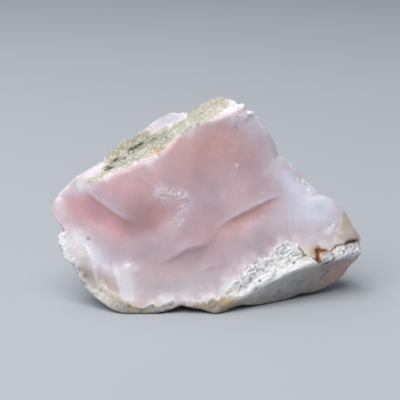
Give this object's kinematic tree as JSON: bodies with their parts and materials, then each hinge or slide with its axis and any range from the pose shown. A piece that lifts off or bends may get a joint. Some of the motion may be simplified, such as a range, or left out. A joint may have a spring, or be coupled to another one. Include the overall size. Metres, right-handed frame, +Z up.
{
  "type": "rough pink opal stone",
  "caption": "Rough broken lump of pink opal with a smooth shell-like front face, a crusted upper slope and a flat underside to rest on.",
  "frame": {"origin": "bottom centre of the bounding box, on the flat facet that the stone rests on", "axes": "+Z up, +X along the stone's long way with the blunt tan tip at +X, -Y out of the broken pink face"},
  "size_m": [0.0754, 0.045, 0.047],
  "materials": {
    "opal": "waxy to glassy on the broken faces, matte and gritty on the crust and rind"
  },
  "bodies": {
    "root": {"andean_pink_opal": "opal"}
  },
  "joints": []
}
